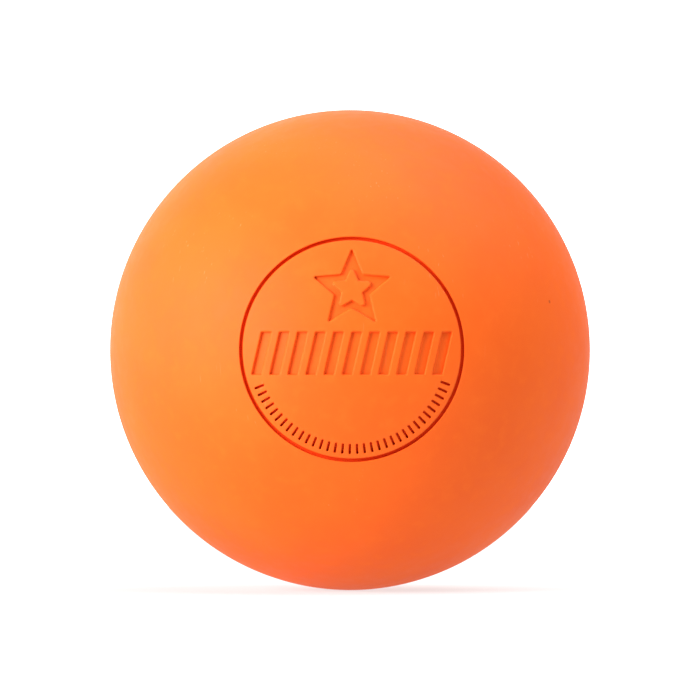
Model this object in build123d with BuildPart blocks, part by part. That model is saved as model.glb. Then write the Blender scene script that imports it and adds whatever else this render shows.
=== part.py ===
from build123d import *
import math
import os

# A solid rubber lacrosse ball, in millimetres, +Z up, with its origin at the ball's centre.
# It is pressed in a two-part mould from a round core and a cover of two half shells, which
# meet on the plane Y = 0. The front half of the mould (-Y) engraves a round badge at its pole.

os.makedirs("parts", exist_ok=True)

# Ball
BALL_DIAMETER = 63.5
COVER_THICKNESS = 6.0
RIM_BEVEL = 0.15  # on each cover's outer rim, where the two halves of the mould meet

# Badge: sizes are as seen along the mould's opening direction, from the badge's centre
LINE_DEPTH = 0.7  # of the ring and the ticks, below the ball's surface
PANEL_DEPTH = 0.5  # of the star and the bars
RING_RADIUS = 14.25
RING_WIDTH = 0.45

# A star above the middle, with a smaller star left standing inside it
STAR_POINTS = 5
STAR_RADIUS = 5.4
STAR_WAIST = 0.45  # radius of the inner corners over that of the outer ones
STAR_ISLAND = 0.55  # size of the smaller star over that of the whole
STAR_HEIGHT = 7.7

# A row of slanted bars across the middle
BAR_COUNT = 11
BAR_WIDTH = 1.4
BAR_LENGTH = 5.6
BAR_SLANT = 13.0  # degrees from upright
BAR_PITCH = 2.32
BAR_HEIGHT = -0.5

# An arc of short radial ticks along the lower edge
TICK_COUNT = 34
TICK_WIDTH = 0.3
TICK_LENGTH = 1.3
TICK_RADIUS = 12.8
TICK_START = 202.0  # degrees, counter-clockwise from the right-hand side
TICK_SPAN = 138.0

# Derived
RADIUS = BALL_DIAMETER / 2
CORE_RADIUS = RADIUS - COVER_THICKNESS
BAR_LEAN = BAR_LENGTH / 2 * math.tan(math.radians(BAR_SLANT))


def star_corners(radius):
    """The corners of a star about the origin, with one point straight up."""
    corners = []
    for corner in range(2 * STAR_POINTS):
        reach = radius * (STAR_WAIST if corner % 2 else 1)
        turn = 90 + corner * 180 / STAR_POINTS
        corners.append(Vector(reach, 0).rotate(Axis.Z, turn))
    return corners


# The parts of the mould that stand proud and press the badge into the front cover: its lines
with BuildPart() as line_stamp:
    with BuildSketch(Plane.XZ.offset(CORE_RADIUS)):
        Circle(RING_RADIUS + RING_WIDTH / 2)
        Circle(RING_RADIUS - RING_WIDTH / 2, mode=Mode.SUBTRACT)
        with PolarLocations(TICK_RADIUS, TICK_COUNT, TICK_START, TICK_SPAN, endpoint=True):
            Rectangle(TICK_LENGTH, TICK_WIDTH)
    extrude(amount=BALL_DIAMETER / 4)
    Sphere(RADIUS - LINE_DEPTH, mode=Mode.SUBTRACT)

# and its wider, shallower marks
with BuildPart() as panel_stamp:
    with BuildSketch(Plane.XZ.offset(CORE_RADIUS)):
        with Locations((0, STAR_HEIGHT)):
            Polygon(*star_corners(STAR_RADIUS), align=None)
            Polygon(*star_corners(STAR_RADIUS * STAR_ISLAND), align=None, mode=Mode.SUBTRACT)
        with Locations((0, BAR_HEIGHT)):
            with GridLocations(BAR_PITCH, 1, BAR_COUNT, 1):
                Polygon(
                    (-BAR_LEAN - BAR_WIDTH / 2, -BAR_LENGTH / 2),
                    (-BAR_LEAN + BAR_WIDTH / 2, -BAR_LENGTH / 2),
                    (BAR_LEAN + BAR_WIDTH / 2, BAR_LENGTH / 2),
                    (BAR_LEAN - BAR_WIDTH / 2, BAR_LENGTH / 2),
                    align=None,
                )
    extrude(amount=BALL_DIAMETER / 4)
    Sphere(RADIUS - PANEL_DEPTH, mode=Mode.SUBTRACT)

# Core: a solid, pre-moulded rubber ball
with BuildPart() as core:
    Sphere(CORE_RADIUS)

core.part.label = "core"
export_step(core.part, "parts/core.step")

# Front cover: the half shell that carries the badge
with BuildPart() as cover_front:
    with BuildSketch(Plane.XY):
        Circle(RADIUS)
        Circle(CORE_RADIUS, mode=Mode.SUBTRACT)
        Rectangle(RADIUS, RADIUS, align=(Align.MIN, Align.MAX), mode=Mode.INTERSECT)
    revolve(axis=Axis.Y)
    mating_face = cover_front.faces().filter_by(GeomType.PLANE)[0]
    chamfer(mating_face.outer_wire().edges(), RIM_BEVEL)
    add(line_stamp.part, mode=Mode.SUBTRACT)
    add(panel_stamp.part, mode=Mode.SUBTRACT)

cover_front.part.label = "cover_front"
export_step(cover_front.part, "parts/cover_front.step")

# Back cover: the plain half shell
with BuildPart() as cover_back:
    with BuildSketch(Plane.XY):
        Circle(RADIUS)
        Circle(CORE_RADIUS, mode=Mode.SUBTRACT)
        Rectangle(RADIUS, RADIUS, align=(Align.MIN, Align.MIN), mode=Mode.INTERSECT)
    revolve(axis=Axis.Y)
    mating_face = cover_back.faces().filter_by(GeomType.PLANE)[0]
    chamfer(mating_face.outer_wire().edges(), RIM_BEVEL)

cover_back.part.label = "cover_back"
export_step(cover_back.part, "parts/cover_back.step")
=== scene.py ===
import math

import bmesh
import bpy
import numpy as np
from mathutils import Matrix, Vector, noise
from mathutils.geometry import delaunay_2d_cdt


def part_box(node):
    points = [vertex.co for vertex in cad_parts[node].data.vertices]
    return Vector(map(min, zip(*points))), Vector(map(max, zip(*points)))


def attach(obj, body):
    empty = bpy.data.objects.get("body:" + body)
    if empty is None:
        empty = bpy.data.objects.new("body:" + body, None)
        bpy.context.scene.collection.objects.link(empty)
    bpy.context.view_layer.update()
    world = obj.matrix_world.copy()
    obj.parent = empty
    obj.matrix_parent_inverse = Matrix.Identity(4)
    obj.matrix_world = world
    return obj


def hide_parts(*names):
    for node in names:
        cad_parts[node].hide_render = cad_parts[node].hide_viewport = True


# The looks of a solid rubber lacrosse ball. Three closed meshes stand for the three CAD nodes:
# the front cover, with a badge pressed into it, the plain back cover, and the core inside them.
# Everything is in metres, and the badge faces -Y.

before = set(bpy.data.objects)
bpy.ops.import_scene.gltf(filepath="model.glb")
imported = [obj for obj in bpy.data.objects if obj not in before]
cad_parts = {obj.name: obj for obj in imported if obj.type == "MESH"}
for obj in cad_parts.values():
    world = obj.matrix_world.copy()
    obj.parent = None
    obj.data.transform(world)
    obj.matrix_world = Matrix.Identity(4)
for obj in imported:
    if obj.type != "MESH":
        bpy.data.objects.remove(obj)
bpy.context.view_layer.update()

MM = 0.001

# Ball: its radii come from the frame
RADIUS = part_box("cover_back")[1].y
CORE_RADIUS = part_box("core")[1].x
RIM_BEVEL = 0.15 * MM
BACK = 1
FRONT = -1

# Badge, in the CAD's sizes: as seen along Y, from the badge's centre
LINE_DEPTH = 0.7 * MM  # of the ring and the ticks
PANEL_DEPTH = 0.5 * MM  # of the star and the bars
RING_RADIUS = 14.25 * MM
RING_WIDTH = 0.45 * MM
STAR_POINTS = 5
STAR_RADIUS = 5.4 * MM
STAR_WAIST = 0.45
STAR_ISLAND = 0.55
STAR_HEIGHT = 7.7 * MM
BAR_COUNT = 11
BAR_WIDTH = 1.4 * MM
BAR_LENGTH = 5.6 * MM
BAR_SLANT = math.radians(13)
BAR_PITCH = 2.32 * MM
BAR_HEIGHT = -0.5 * MM
TICK_COUNT = 34
TICK_WIDTH = 0.3 * MM
TICK_LENGTH = 1.3 * MM
TICK_RADIUS = 12.8 * MM
TICK_START = math.radians(202)
TICK_SPAN = math.radians(138)

# The wall of every mark: a rounded lip, a drafted wall and a rounded foot
LINE_LIP = 0.1 * MM  # radius, on the ring and the ticks
PANEL_LIP = 0.2 * MM  # radius, on the star and the bars
FOOT_RADIUS = 0.06 * MM
DRAFT = math.radians(5)
LINE_CORNER = 0.13 * MM  # radius of a tick's outward corners, as seen along Y
PANEL_CORNER = 0.18 * MM  # radius of those of the star and the bars
HOLLOW_RADIUS = 0.3 * MM  # of every mark's inward corners
CURVE_STEPS = 5  # faces round a lip, a foot or a corner

# Mesh
SEGMENTS = 288  # round the ball
OUTLINE_STEP = 0.35 * MM  # between points along a mark's outline
LAND_STEP = 0.5 * MM  # between points on the open surface inside the ring
BELT_STEP = math.radians(1.2)  # between rings, as seen from the ball's centre
CAP_RADIUS = 14.0 * MM  # of the patch at a pole that has no badge
CAP_STEP = 0.8 * MM  # between points in that patch
SEAM_BAND = 1.5 * MM  # width of the finely divided strip along the rim
SEAM_STEP = 0.15 * MM
BUFF_DEPTH = 0.03 * MM  # the most that trimming took off at the seam
BUFF_UNEVEN = 0.4  # how much of that comes and goes, as a share
BUFF_WAVE = 6.0 * MM  # between its deeper and shallower stretches
SHARP = math.radians(50)  # edges that turn by more are left sharp
GUARD = 0.1 * MM  # width of the strip of surface that frames each lip
CLEARANCE = 0.6  # of a step, between an open surface's points and its outlines
BEVEL_STEP = math.pi / 6  # of turn, between the rings round a rim's bevel
WELD = 1e-8  # points closer than this are one
PLAN_WELD = 1e-6  # the same in a plan, in millimetres

# Colours
RUBBER_ORANGE = (0.86, 0.122, 0.006)
RUBBER_PALE = (0.88, 0.134, 0.009)
RUBBER_DEEP = (0.84, 0.108, 0.005)
CORE_RUST = (0.5, 0.09, 0.025)
CORE_BROWN = (0.36, 0.06, 0.02)
# painted shade: the darker red put into the deeper parts of the ring's and the ticks' grooves
GROOVE_SHADE_RED = (0.78, 0.03, 0.001)
PIGMENT = (0.25, 0.02, 0.004)
CHALK = (0.9, 0.35, 0.18)
FLOOR_GREYS = (0.26, 0.28)

# Patterns in the materials, in patches to the metre
CLOUDS = 70
MOTTLE = 520
GRAIN = 4200
SCRATCHES = 2600
SPECKS = 170
BUFFING = 1500
SEAM_WANDER = 160
CORE_CLOUDS = 120
CRUMBS = 700.0
CRUMB_GRAIN = 2400
FLOOR_CLOUDS = 40

# Relief that is too fine for the meshes
MOTTLE_HEIGHT = 0.006 * MM
GRAIN_HEIGHT = 0.0012 * MM
BUFFING_HEIGHT = 0.03 * MM
CRUMB_HEIGHT = 0.06 * MM
CRUMB_GRAIN_HEIGHT = 0.02 * MM

# Where the cover's features lie
SEAM_FULL = 0.5  # of SEAM_BAND, from the seam: the buffed strip is at its strongest inside it
SEAM_END = 1.3  # of SEAM_BAND, where the strip ends
LINING_START = 1.0 * MM  # below the surface
LINING_FULL = 2.0 * MM
GROOVE_SHADE_START = 0.2  # of LINE_DEPTH, where the painted shade in a line's groove starts
GROOVE_SHADE_FULL = 0.6
SPECK_SIZE = 0.045  # radius, as a share of a cell
SPECK_SHARE = 0.4  # of the cells that hold a speck
SPECK_MIDDLE = 0.6  # of a speck's radius that is fully dark
SCRATCH_STRETCH = (1, 1, 0.04)
SCRATCH_TURN = (0.3, 0.5, 0.2)

# How far each feature turns the cover's colour, from 0 to 1
PALE_TINT = 0.5
# painted shade in the ring's and the ticks' grooves
GROOVE_SHADE_TINT = 0.7
SPECK_TINT = 0.5
SCUFF_TINT = 0.25
SEAM_TINT = 0.12
LINING_TINT = 0.5

# Roughness, and what each feature adds to the cover's
COVER_ROUGHNESS = (0.56, 0.64)
CORE_ROUGHNESS = (0.65, 0.9)
SEAM_ROUGHNESS = 0.12
LINING_ROUGHNESS = 0.3
SCUFF_ROUGHNESS = 0.15

# Strength of the reflection
COVER_SHEEN = 0.2
CORE_SHEEN = 0.3

# Places of a Mix node's sockets for colours
MIX_COLOURS = (6, 7)
MIX_RESULT = 2

# Studio: places are (azimuth from -Y toward +X, elevation), in degrees
CAMERA_DISTANCE = 1.0
CAMERA_PLACE = (-0.48, -0.157)
BALL_IN_FRAME = 0.686  # the ball's outline, as a share of the picture's width
KEY_PLACE = (-47, 18)
KEY_DISTANCE = 1.2
KEY_SIZE = 0.64
KEY_RADIANCE = 12.0
PANELS = (  # azimuth, elevation and radiance
    (-75, 0, 5.6),
    (-165, 0, 2.1),
    (-165, 65, 0.9),
    (75, 65, 3.1),
    (135, 0, 0.5),
)
PANEL_SPREAD = (50, 15)  # degrees from a panel's middle, where it starts and where it is full
BACKDROP = 1.2  # radiance of the world as the camera sees it
FLOOR_REACH = 0.6
FLOOR_GLOW = 0.7
SENSOR_WIDTH = 36  # of the camera, in millimetres


class Skin:
    """The points and faces of one piece, as they are made."""

    def __init__(self):
        self.points = []
        self.faces = []

    def add(self, points):
        """Adds points, and returns their numbers as a ring."""
        first = len(self.points)
        self.points.extend(Vector(p) for p in points)
        return list(range(first, len(self.points)))

    def join(self, ring, other):
        """A band of faces between two rings with as many points."""
        for i in range(len(ring)):
            j = (i + 1) % len(ring)
            self.faces.append((ring[i], ring[j], other[j], other[i]))

    def thread(self, rings):
        """Bands of faces through rings, in their order."""
        for ring, other in zip(rings, rings[1:]):
            self.join(ring, other)

    def buff(self, first):
        """Moves points near the seam in a little, as trimming does. It starts at number first."""
        for number in range(first, len(self.points)):
            point = self.points[number]
            near = max(0.0, 1 - abs(point.y) / SEAM_BAND)
            wave = noise.noise(Vector((point.x, 0, point.z)) / BUFF_WAVE)
            uneven = 1 - BUFF_UNEVEN + BUFF_UNEVEN * wave
            self.points[number] = point * (1 - BUFF_DEPTH * near**2 * uneven / RADIUS)

    def piece(self, name, material):
        """The finished object."""
        mesh = bpy.data.meshes.new(name)
        mesh.from_pydata(self.points, [], self.faces)
        shape = bmesh.new()
        shape.from_mesh(mesh)
        bmesh.ops.remove_doubles(shape, verts=shape.verts, dist=WELD)
        bmesh.ops.recalc_face_normals(shape, faces=shape.faces)
        shape.to_mesh(mesh)
        shape.free()
        mesh.shade_smooth()
        mesh.set_sharp_from_angle(angle=SHARP)
        mesh.materials.append(material)
        obj = bpy.data.objects.new(name, mesh)
        bpy.context.scene.collection.objects.link(obj)
        return obj


# Plan view: points as seen along Y

def on_ball(plan, side, radius=RADIUS, drop=0.0):
    """Points in the plan view, raised to a sphere that lies drop below the one of that radius."""
    height = np.sqrt((radius - drop) ** 2 - (plan**2).sum(axis=1))
    return np.column_stack((plan[:, 0], side * height, plan[:, 1]))


def circle(radius):
    """Points round a circle, counter-clockwise, and the directions out of it."""
    turn = np.arange(SEGMENTS) * math.tau / SEGMENTS
    out = np.column_stack((np.cos(turn), np.sin(turn)))
    return radius * out, out


def rounded(corners, corner_radius):
    """Points round a polygon with rounded corners, and the directions out of the mark at each.

    The mark lies to the left of the outline. A corner that turns left bulges out of the mark."""
    points = []
    outs = []
    for before, corner, after in zip(np.roll(corners, 1, 0), corners, np.roll(corners, -1, 0)):
        come = (corner - before) / np.linalg.norm(corner - before)
        leave = (after - corner) / np.linalg.norm(after - corner)
        turn = math.atan2(come[0] * leave[1] - come[1] * leave[0], come @ leave)
        bulge = corner_radius if turn > 0 else -HOLLOW_RADIUS
        trim = bulge * math.tan(turn / 2)
        out = np.array((come[1], -come[0]))
        centre = corner - come * trim - out * bulge
        start = centre + out * bulge
        if points:
            add_straight(points, outs, start, out)
        for step in range(CURVE_STEPS + 1):
            part = turn * step / CURVE_STEPS
            spin = np.array(((math.cos(part), -math.sin(part)), (math.sin(part), math.cos(part))))
            outs.append(spin @ out)
            points.append(centre + outs[-1] * bulge)
    add_straight(points, outs, points[0], outs[0])
    return np.array(points), np.array(outs)


def add_straight(points, outs, end, out):
    """Points along a straight side, between the last point so far and end."""
    start = points[-1]
    count = int(np.linalg.norm(end - start) / OUTLINE_STEP)
    for step in range(1, count + 1):
        points.append(start + (end - start) * step / (count + 1))
        outs.append(out)


def wall_profile(depth, lip_radius):
    """The wall of a mark, from the open surface to its floor, as (distance out of the mark, drop)."""
    steep = math.pi / 2 - DRAFT
    turns = [steep * step / CURVE_STEPS for step in range(CURVE_STEPS + 1)]
    lip = [(-lip_radius * math.sin(a), lip_radius * (1 - math.cos(a))) for a in turns]
    foot_drop = depth - FOOT_RADIUS * (1 - math.cos(steep))
    foot_start = lip[-1][0] - (foot_drop - lip[-1][1]) / math.tan(steep)
    foot = []
    for a in reversed(turns):
        inward = FOOT_RADIUS * (math.sin(steep) - math.sin(a))
        foot.append((foot_start - inward, depth - FOOT_RADIUS * (1 - math.cos(a))))
    half = foot[-1][0] / 2
    return [(GUARD - half, 0.0)] + [(out - half, drop) for out, drop in lip + foot]


def inside(points, loops):
    """Which points lie inside an odd number of loops."""
    odd = np.zeros(len(points), bool)
    for loop in loops:
        nxt = np.roll(loop, -1, 0)
        for (x1, y1), (x2, y2) in zip(loop, nxt):
            if y1 == y2:
                continue
            crosses = (y1 > points[:, 1]) != (y2 > points[:, 1])
            x = x1 + (points[:, 1] - y1) * (x2 - x1) / (y2 - y1)
            odd ^= crosses & (points[:, 0] < x)
    return odd


def fill(skin, rings, side, step, radius=RADIUS, drop=0.0):
    """Triangles over the part of a sphere that lies inside an odd number of rings, as seen along Y."""
    loops = [np.array([skin.points[n].xz for n in ring]) / MM for ring in rings]
    loops = [np.float32(loop).astype(float) for loop in loops]  # as exact as a Vector, and no more
    extra = open_points(loops, step / MM)
    numbers = [n for ring in rings for n in ring]
    numbers += skin.add(on_ball(extra * MM, side, radius, drop)) if len(extra) else []
    edges = []
    first = 0
    for loop in loops:
        edges += [(first + i, first + (i + 1) % len(loop)) for i in range(len(loop))]
        first += len(loop)
    plan = np.concatenate(loops + [extra])
    made = delaunay_2d_cdt([Vector(p) for p in plan], edges, [], 0, PLAN_WELD, True)
    _, _, triangles, sources, _, _ = made
    faces = [[sources[n][0] for n in face] for face in triangles]
    middles = np.array([plan[face].mean(axis=0) for face in faces])
    for face, kept in zip(faces, inside(middles, loops)):
        if kept:
            skin.faces.append(tuple(numbers[n] for n in face))


def open_points(loops, step):
    """Points in rows, evenly spaced over the area between loops and clear of their outlines."""
    outline = np.concatenate(loops)
    low = outline.min(axis=0)
    high = outline.max(axis=0)
    rows = np.arange(low[1], high[1], step * math.sqrt(3) / 2)
    found = []
    for number, y in enumerate(rows):
        row = np.arange(low[0] + step / 2 * (number % 2), high[0], step)
        found.append(np.column_stack((row, np.full(len(row), y))))
    found = np.concatenate(found)
    found = found[inside(found, loops)]
    clear = [((outline - p) ** 2).sum(axis=1).min() > (CLEARANCE * step) ** 2 for p in found]
    return found[np.array(clear, bool)]


def press(skin, outline, depth, lip_radius):
    """The wall of a mark round one of its outlines. Returns its rings, from the surface to the floor.

    An outline is its points and the directions out of the mark at each."""
    points, outs = outline
    profile = wall_profile(depth, lip_radius)
    rings = [skin.add(on_ball(points + outs * out, FRONT, drop=drop)) for out, drop in profile]
    skin.thread(rings)
    return rings


def round_ring(skin, reach, height):
    """A ring about the Y axis."""
    return skin.add((x, height, z) for x, z in circle(reach)[0])


def belt(skin, ring, side, radius, angles):
    """Bands of faces from a ring through others at those angles off the Y axis. Returns the last."""
    rings = [ring]
    for angle in angles:
        rings.append(round_ring(skin, radius * math.sin(angle), side * radius * math.cos(angle)))
    skin.thread(rings)
    return rings[-1]


def even_steps(start, end, step=BELT_STEP):
    """Values from start, which is left out, to end, in even steps no longer than step."""
    count = math.ceil(abs(end - start) / step)
    return [start + (end - start) * (i + 1) / count for i in range(count)]


def cap(skin, side, radius):
    """A plain patch over a pole. Returns the ring round it."""
    ring = skin.add(on_ball(circle(CAP_RADIUS)[0], side, radius))
    fill(skin, [ring], side, CAP_STEP, radius)
    return ring


# Badge

def star(radius, raised=False):
    """A star with one point up. A raised one stands inside a mark, so it runs clockwise."""
    turns = math.pi / 2 + np.arange(2 * STAR_POINTS) * math.pi / STAR_POINTS
    reach = np.where(np.arange(2 * STAR_POINTS) % 2, radius * STAR_WAIST, radius)
    corners = np.column_stack((reach * np.cos(turns), STAR_HEIGHT + reach * np.sin(turns)))
    return corners[::-1] if raised else corners


def bar(place):
    """One slanted bar, place steps to the right of the middle one."""
    half = BAR_LENGTH / 2
    lean = half * math.tan(BAR_SLANT)
    corners = ((-lean, -half), (-lean + BAR_WIDTH, -half), (lean + BAR_WIDTH, half), (lean, half))
    return np.array(corners) + (place * BAR_PITCH - BAR_WIDTH / 2, BAR_HEIGHT)


def tick(turn):
    """One tick, whose length points away from the badge's centre."""
    long = np.array((math.cos(turn), math.sin(turn)))
    wide = np.array((-long[1], long[0])) * TICK_WIDTH / 2
    near, far = (TICK_RADIUS + end * TICK_LENGTH / 2 for end in (-1, 1))
    return np.array((near * long - wide, far * long - wide, far * long + wide, near * long + wide))


def press_line(skin, outline):
    """The wall of the ring or a tick."""
    return press(skin, outline, LINE_DEPTH, LINE_LIP)


def press_panel(skin, corners):
    """The wall of the star or a bar."""
    return press(skin, rounded(corners, PANEL_CORNER), PANEL_DEPTH, PANEL_LIP)


def press_badge(skin):
    """The badge and all the surface inside its ring. Returns the ring of points just outside it."""
    stars = (star(STAR_RADIUS), star(STAR_RADIUS * STAR_ISLAND, raised=True))
    star_walls = [press_panel(skin, corners) for corners in stars]
    bars = [bar(place - (BAR_COUNT - 1) / 2) for place in range(BAR_COUNT)]
    bar_walls = [press_panel(skin, corners) for corners in bars]
    ticks = [tick(TICK_START + TICK_SPAN * i / (TICK_COUNT - 1)) for i in range(TICK_COUNT)]
    tick_walls = [press_line(skin, rounded(corners, LINE_CORNER)) for corners in ticks]

    outer_wall = press_line(skin, circle(RING_RADIUS + RING_WIDTH / 2))
    points, outs = circle(RING_RADIUS - RING_WIDTH / 2)
    inner_wall = press_line(skin, (points, -outs))
    skin.join(outer_wall[-1], inner_wall[-1])

    fill(skin, [wall[-1] for wall in star_walls], FRONT, LAND_STEP, drop=PANEL_DEPTH)
    for wall in bar_walls:
        fill(skin, [wall[-1]], FRONT, LAND_STEP, drop=PANEL_DEPTH)
    for wall in tick_walls:
        fill(skin, [wall[-1]], FRONT, LAND_STEP, drop=LINE_DEPTH)
    lips = [wall[0] for wall in star_walls + bar_walls + tick_walls]
    fill(skin, [inner_wall[0]] + lips, FRONT, LAND_STEP)
    return outer_wall[0]


# Pieces

def cover(name, side, material):
    """Half of the cover, with the badge if it is the front one."""
    skin = Skin()
    if side == FRONT:
        ring = press_badge(skin)
    else:
        ring = cap(skin, side, RADIUS)
    start = math.asin(math.hypot(skin.points[ring[0]].x, skin.points[ring[0]].z) / RADIUS)
    seam = math.pi / 2 - SEAM_BAND / RADIUS
    edge = math.pi / 2 - RIM_BEVEL / RADIUS
    angles = even_steps(start, seam) + even_steps(seam, edge, SEAM_STEP / RADIUS)
    first = len(skin.points)
    ring = belt(skin, ring, side, RADIUS, angles)

    bevel = []
    for turn in even_steps(0, math.pi / 2, BEVEL_STEP):
        reach = RADIUS - RIM_BEVEL * (1 - math.cos(turn))
        bevel.append(round_ring(skin, reach, side * RIM_BEVEL * (1 - math.sin(turn))))
    skin.buff(first)
    inner_rim = round_ring(skin, CORE_RADIUS, 0.0)
    skin.thread([ring] + bevel + [inner_rim])

    ring = cap(skin, side, CORE_RADIUS)
    start = math.asin(CAP_RADIUS / CORE_RADIUS)
    ring = belt(skin, ring, side, CORE_RADIUS, even_steps(start, math.pi / 2, 2 * BELT_STEP)[:-1])
    skin.join(ring, inner_rim)
    return skin.piece(name, material)


def core(name, material):
    """The ball inside the cover."""
    skin = Skin()
    rim = round_ring(skin, CORE_RADIUS, 0.0)
    start = math.asin(CAP_RADIUS / CORE_RADIUS)
    for side in (FRONT, BACK):
        ring = cap(skin, side, CORE_RADIUS)
        ring = belt(skin, ring, side, CORE_RADIUS, even_steps(start, math.pi / 2)[:-1])
        skin.join(ring, rim)
    return skin.piece(name, material)


# Materials: each has nodes of its own, placed by the object's coordinates, in metres

def new_material(name):
    """A material, its nodes and the socket that gives a point's place."""
    material = bpy.data.materials.new(name)
    material.use_nodes = True
    tree = material.node_tree
    place = tree.nodes.new("ShaderNodeTexCoord").outputs["Object"]
    return material, tree, place


def node(tree, kind, inputs, **settings):
    """A node whose inputs are values or other nodes' outputs."""
    made = tree.nodes.new("ShaderNode" + kind)
    for name, value in settings.items():
        setattr(made, name, value)
    for name, value in inputs.items():
        if isinstance(value, bpy.types.NodeSocket):
            tree.links.new(value, made.inputs[name])
        else:
            made.inputs[name].default_value = value
    return made


def noise_at(tree, place, scale, detail, rough=0.5):
    """Noise from 0 to 1, with scale patches to the metre."""
    inputs = {"Vector": place, "Scale": scale, "Detail": detail, "Roughness": rough}
    return node(tree, "TexNoise", inputs).outputs["Fac"]


def ramp(tree, value, low, high, start=0.0, end=1.0):
    """A smooth step from start to end as value goes from low to high."""
    inputs = {"Value": value, "From Min": low, "From Max": high, "To Min": start, "To Max": end}
    return node(tree, "MapRange", inputs, interpolation_type="SMOOTHSTEP").outputs["Result"]


def maths(tree, operation, first, second=0.0):
    """One step of arithmetic on values or other nodes' outputs."""
    made = node(tree, "Math", {0: first, 1: second}, operation=operation)
    return made.outputs["Value"]


def tint(tree, colour, factor, other):
    """Colour, turned into the other colour as factor goes from 0 to 1."""
    made = node(tree, "Mix", {0: factor}, data_type="RGBA")
    for socket, value in zip(MIX_COLOURS, (colour, other)):
        if isinstance(value, bpy.types.NodeSocket):
            tree.links.new(value, made.inputs[socket])
        else:
            made.inputs[socket].default_value = (*value, 1)
    return made.outputs[MIX_RESULT]


def specks(tree, place, scale, size, share):
    """1 in small round specks, one to a cell but only in a share of the cells, and 0 elsewhere."""
    cells = node(tree, "TexVoronoi", {"Vector": place, "Scale": scale})
    chosen = node(tree, "SeparateColor", {"Color": cells.outputs["Color"]}).outputs["Red"]
    near = ramp(tree, cells.outputs["Distance"], size * SPECK_MIDDLE, size, 1.0, 0.0)
    return maths(tree, "MULTIPLY", near, maths(tree, "LESS_THAN", chosen, share))


def bump(tree, height, distance, normal=None):
    """The normal of a surface whose height, from 0 to 1, is worth that distance."""
    inputs = {"Height": height, "Distance": distance}
    if normal:
        inputs["Normal"] = normal
    return node(tree, "Bump", inputs).outputs["Normal"]


def groove_shade_zone(tree, axes):
    """1 over the badge's ring and over the ticks below its bars, seen along Y, where the grooves get
    painted shade, and 0 elsewhere.
    """
    flat = node(tree, "CombineXYZ", {"X": axes.outputs["X"], "Z": axes.outputs["Z"]}).outputs["Vector"]
    reach = node(tree, "VectorMath", {0: flat}, operation="LENGTH").outputs["Value"]
    ring = maths(tree, "GREATER_THAN", reach, RING_RADIUS - RING_WIDTH)
    bars_end = BAR_HEIGHT - BAR_LENGTH / 2 - PANEL_LIP
    return maths(tree, "MAXIMUM", ring, maths(tree, "LESS_THAN", axes.outputs["Z"], bars_end))


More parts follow.
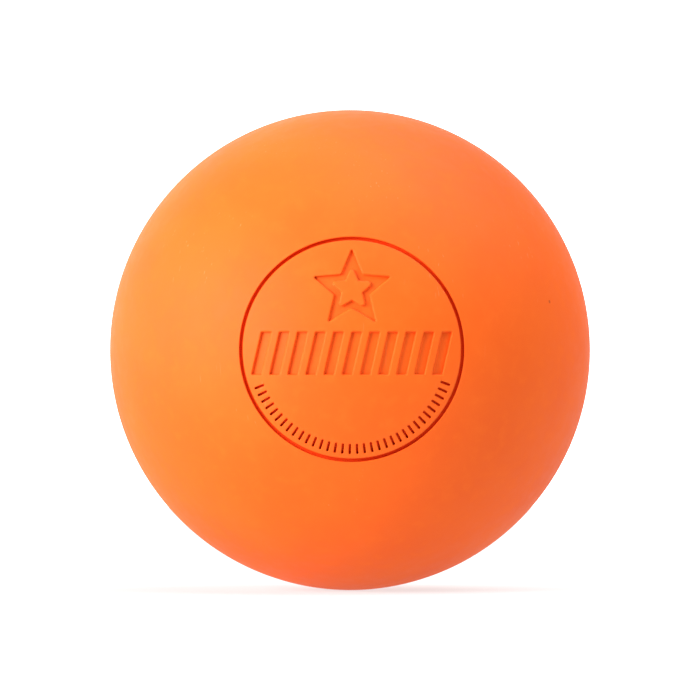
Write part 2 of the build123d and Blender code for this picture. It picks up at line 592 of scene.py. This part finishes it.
def cover_rubber():
    """Through-coloured orange rubber, satin as it leaves the mould, with a buffed seam and painted
    shade in the ring's and the ticks' grooves.
    """
    material, tree, place = new_material("cover_rubber")
    shader = tree.nodes["Principled BSDF"]
    axes = node(tree, "SeparateXYZ", {"Vector": place})
    from_centre = node(tree, "VectorMath", {0: place}, operation="LENGTH").outputs["Value"]
    wander = maths(tree, "MULTIPLY", noise_at(tree, place, SEAM_WANDER, 3), SEAM_BAND)
    off_seam = maths(tree, "ADD", maths(tree, "ABSOLUTE", axes.outputs["Y"]), wander)
    seam = ramp(tree, off_seam, SEAM_FULL * SEAM_BAND, SEAM_END * SEAM_BAND, 1.0, 0.0)
    lining = ramp(tree, from_centre, RADIUS - LINING_FULL, RADIUS - LINING_START, 1.0, 0.0)
    shade_full_radius = RADIUS - GROOVE_SHADE_FULL * LINE_DEPTH
    shade_start_radius = RADIUS - GROOVE_SHADE_START * LINE_DEPTH
    groove_shade_by_depth = ramp(tree, from_centre, shade_full_radius, shade_start_radius, 1.0, 0.0)
    painted_shade_in_lines = maths(tree, "MULTIPLY", groove_shade_by_depth, groove_shade_zone(tree, axes))

    clouds = noise_at(tree, place, CLOUDS, 3, 0.55)
    mottle = noise_at(tree, place, MOTTLE, 3, 0.6)
    grain = noise_at(tree, place, GRAIN, 2)
    stretch = {"Vector": place, "Scale": SCRATCH_STRETCH, "Rotation": SCRATCH_TURN}
    stretched = node(tree, "Mapping", stretch)
    scratches = noise_at(tree, stretched.outputs["Vector"], SCRATCHES, 1)
    scuffs = maths(tree, "MULTIPLY", ramp(tree, scratches, 0.7, 0.76), ramp(tree, clouds, 0.52, 0.66))

    colour = tint(tree, RUBBER_DEEP, ramp(tree, clouds, 0.3, 0.7), RUBBER_ORANGE)
    colour = tint(tree, colour, ramp(tree, mottle, 0.45, 0.75, 0.0, PALE_TINT), RUBBER_PALE)
    # Painted shade: the deeper parts of the ring's and the ticks' grooves turn darker red
    colour = tint(tree, colour, maths(tree, "MULTIPLY", painted_shade_in_lines, GROOVE_SHADE_TINT), GROOVE_SHADE_RED)
    dots = specks(tree, place, SPECKS, SPECK_SIZE, SPECK_SHARE)
    colour = tint(tree, colour, maths(tree, "MULTIPLY", dots, SPECK_TINT), PIGMENT)
    colour = tint(tree, colour, maths(tree, "MULTIPLY", scuffs, SCUFF_TINT), CHALK)
    colour = tint(tree, colour, maths(tree, "MULTIPLY", seam, SEAM_TINT), CHALK)
    colour = tint(tree, colour, maths(tree, "MULTIPLY", lining, LINING_TINT), RUBBER_DEEP)
    tree.links.new(colour, shader.inputs["Base Color"])

    roughness = ramp(tree, mottle, 0.3, 0.7, *COVER_ROUGHNESS)
    roughness = maths(tree, "ADD", roughness, maths(tree, "MULTIPLY", seam, SEAM_ROUGHNESS))
    roughness = maths(tree, "ADD", roughness, maths(tree, "MULTIPLY", lining, LINING_ROUGHNESS))
    roughness = maths(tree, "ADD", roughness, maths(tree, "MULTIPLY", scuffs, SCUFF_ROUGHNESS))
    tree.links.new(roughness, shader.inputs["Roughness"])

    rough_places = maths(tree, "ADD", seam, lining)
    coarse = maths(tree, "MULTIPLY", rough_places, noise_at(tree, place, BUFFING, 4))
    normal = bump(tree, mottle, MOTTLE_HEIGHT)
    normal = bump(tree, grain, GRAIN_HEIGHT, normal)
    normal = bump(tree, coarse, BUFFING_HEIGHT, normal)
    tree.links.new(normal, shader.inputs["Normal"])
    shader.inputs["Specular IOR Level"].default_value = COVER_SHEEN
    return material


def core_rubber():
    """Darker rubber ground from offcuts, with the crumbs of other colours still in it."""
    material, tree, place = new_material("core_rubber")
    shader = tree.nodes["Principled BSDF"]
    clouds = noise_at(tree, place, CORE_CLOUDS, 4, 0.6)
    crumbs = node(tree, "TexVoronoi", {"Vector": place, "Scale": CRUMBS})
    choice = node(tree, "SeparateColor", {"Color": crumbs.outputs["Color"]})
    colour = tint(tree, CORE_BROWN, ramp(tree, clouds, 0.35, 0.65), CORE_RUST)
    colour = tint(tree, colour, maths(tree, "GREATER_THAN", choice.outputs["Red"], 0.8), RUBBER_ORANGE)
    colour = tint(tree, colour, maths(tree, "GREATER_THAN", choice.outputs["Green"], 0.93), PIGMENT)
    tree.links.new(colour, shader.inputs["Base Color"])
    roughness = ramp(tree, choice.outputs["Blue"], 0, 1, *CORE_ROUGHNESS)
    tree.links.new(roughness, shader.inputs["Roughness"])
    normal = bump(tree, crumbs.outputs["Distance"], CRUMB_HEIGHT)
    normal = bump(tree, noise_at(tree, place, CRUMB_GRAIN, 3), CRUMB_GRAIN_HEIGHT, normal)
    tree.links.new(normal, shader.inputs["Normal"])
    shader.inputs["Specular IOR Level"].default_value = CORE_SHEEN
    return material


COVER = cover_rubber()
pieces = (
    (cover("front_cover_skin", FRONT, COVER), "cover_front", "cover_rubber"),
    (cover("back_cover_skin", BACK, COVER), "cover_back", "cover_rubber"),
    (core("core_ball", core_rubber()), "core", "core_rubber"),
)
for piece, replaced, slot in pieces:
    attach(piece, "root")
    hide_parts(replaced)


# Stage, light and camera

def pale_floor():
    """A grey table that its own glow makes white, so that shadows on it stay faint."""
    mesh = bpy.data.meshes.new("floor")
    signs = ((-1, -1), (1, -1), (1, 1), (-1, 1))
    corners = [(x * FLOOR_REACH, y * FLOOR_REACH, -RADIUS) for x, y in signs]
    mesh.from_pydata(corners, [], [(0, 1, 2, 3)])
    material, tree, place = new_material("floor_paint")
    shader = tree.nodes["Principled BSDF"]
    shade = ramp(tree, noise_at(tree, place, FLOOR_CLOUDS, 3), 0.3, 0.7)
    dark, pale = ((grey, grey, grey) for grey in FLOOR_GREYS)
    tree.links.new(tint(tree, dark, shade, pale), shader.inputs["Base Color"])
    shader.inputs["Emission Color"].default_value = (1, 1, 1, 1)
    shader.inputs["Emission Strength"].default_value = FLOOR_GLOW
    shader.inputs["Specular IOR Level"].default_value = 0.0
    mesh.materials.append(material)
    floor = bpy.data.objects.new("floor", mesh)
    bpy.context.scene.collection.objects.link(floor)
    return floor


def studio():
    """White all round for the camera. As a light it is dark, but for a few broad soft panels."""
    world = bpy.data.worlds.new("studio")
    world.use_nodes = True
    tree = world.node_tree
    toward = tree.nodes.new("ShaderNodeTexCoord").outputs["Generated"]
    edge, middle = (math.cos(math.radians(angle)) for angle in PANEL_SPREAD)
    light = 0.0
    for azimuth, elevation, radiance in PANELS:
        panel = {0: toward, 1: direction(azimuth, elevation)}
        near = node(tree, "VectorMath", panel, operation="DOT_PRODUCT").outputs["Value"]
        light = maths(tree, "ADD", light, ramp(tree, near, edge, middle, 0.0, radiance))
    seen = tree.nodes.new("ShaderNodeLightPath").outputs["Is Camera Ray"]
    strength = maths(tree, "MAXIMUM", light, maths(tree, "MULTIPLY", seen, BACKDROP))
    tree.links.new(strength, tree.nodes["Background"].inputs["Strength"])
    tree.nodes["Background"].inputs["Color"].default_value = (1, 1, 1, 1)
    return world


def direction(azimuth, elevation):
    """The direction from the ball that lies azimuth degrees from -Y toward +X, and that high."""
    turn = math.radians(azimuth)
    lift = math.radians(elevation)
    level = math.cos(lift)
    return Vector((math.sin(turn) * level, -math.cos(turn) * level, math.sin(lift)))


def soft_light(name, away, size, radiance):
    """A round lamp that faces the ball, as wide as size."""
    light = bpy.data.lights.new(name, "AREA")
    light.shape = "DISK"
    light.size = size
    light.energy = math.pi * radiance * math.pi * (size / 2) ** 2
    lamp = bpy.data.objects.new(name, light)
    lamp.location = away
    lamp.rotation_mode = "QUATERNION"
    lamp.rotation_quaternion = away.to_track_quat("Z", "Y")
    lamp.visible_camera = False
    bpy.context.scene.collection.objects.link(lamp)


pale_floor()
bpy.context.scene.world = studio()
soft_light("key", KEY_DISTANCE * direction(*KEY_PLACE), KEY_SIZE, KEY_RADIANCE)

lens = bpy.data.cameras.new("camera")
lens.sensor_width = SENSOR_WIDTH
outline = RADIUS / math.sqrt(CAMERA_DISTANCE**2 - RADIUS**2)
lens.lens = BALL_IN_FRAME * lens.sensor_width / (2 * outline)
camera = bpy.data.objects.new("camera", lens)
camera.location = CAMERA_DISTANCE * direction(*CAMERA_PLACE)
camera.rotation_euler = camera.location.to_track_quat("Z", "Y").to_euler()
bpy.context.scene.collection.objects.link(camera)
bpy.context.scene.camera = camera
bpy.context.scene.view_settings.view_transform = "Standard"
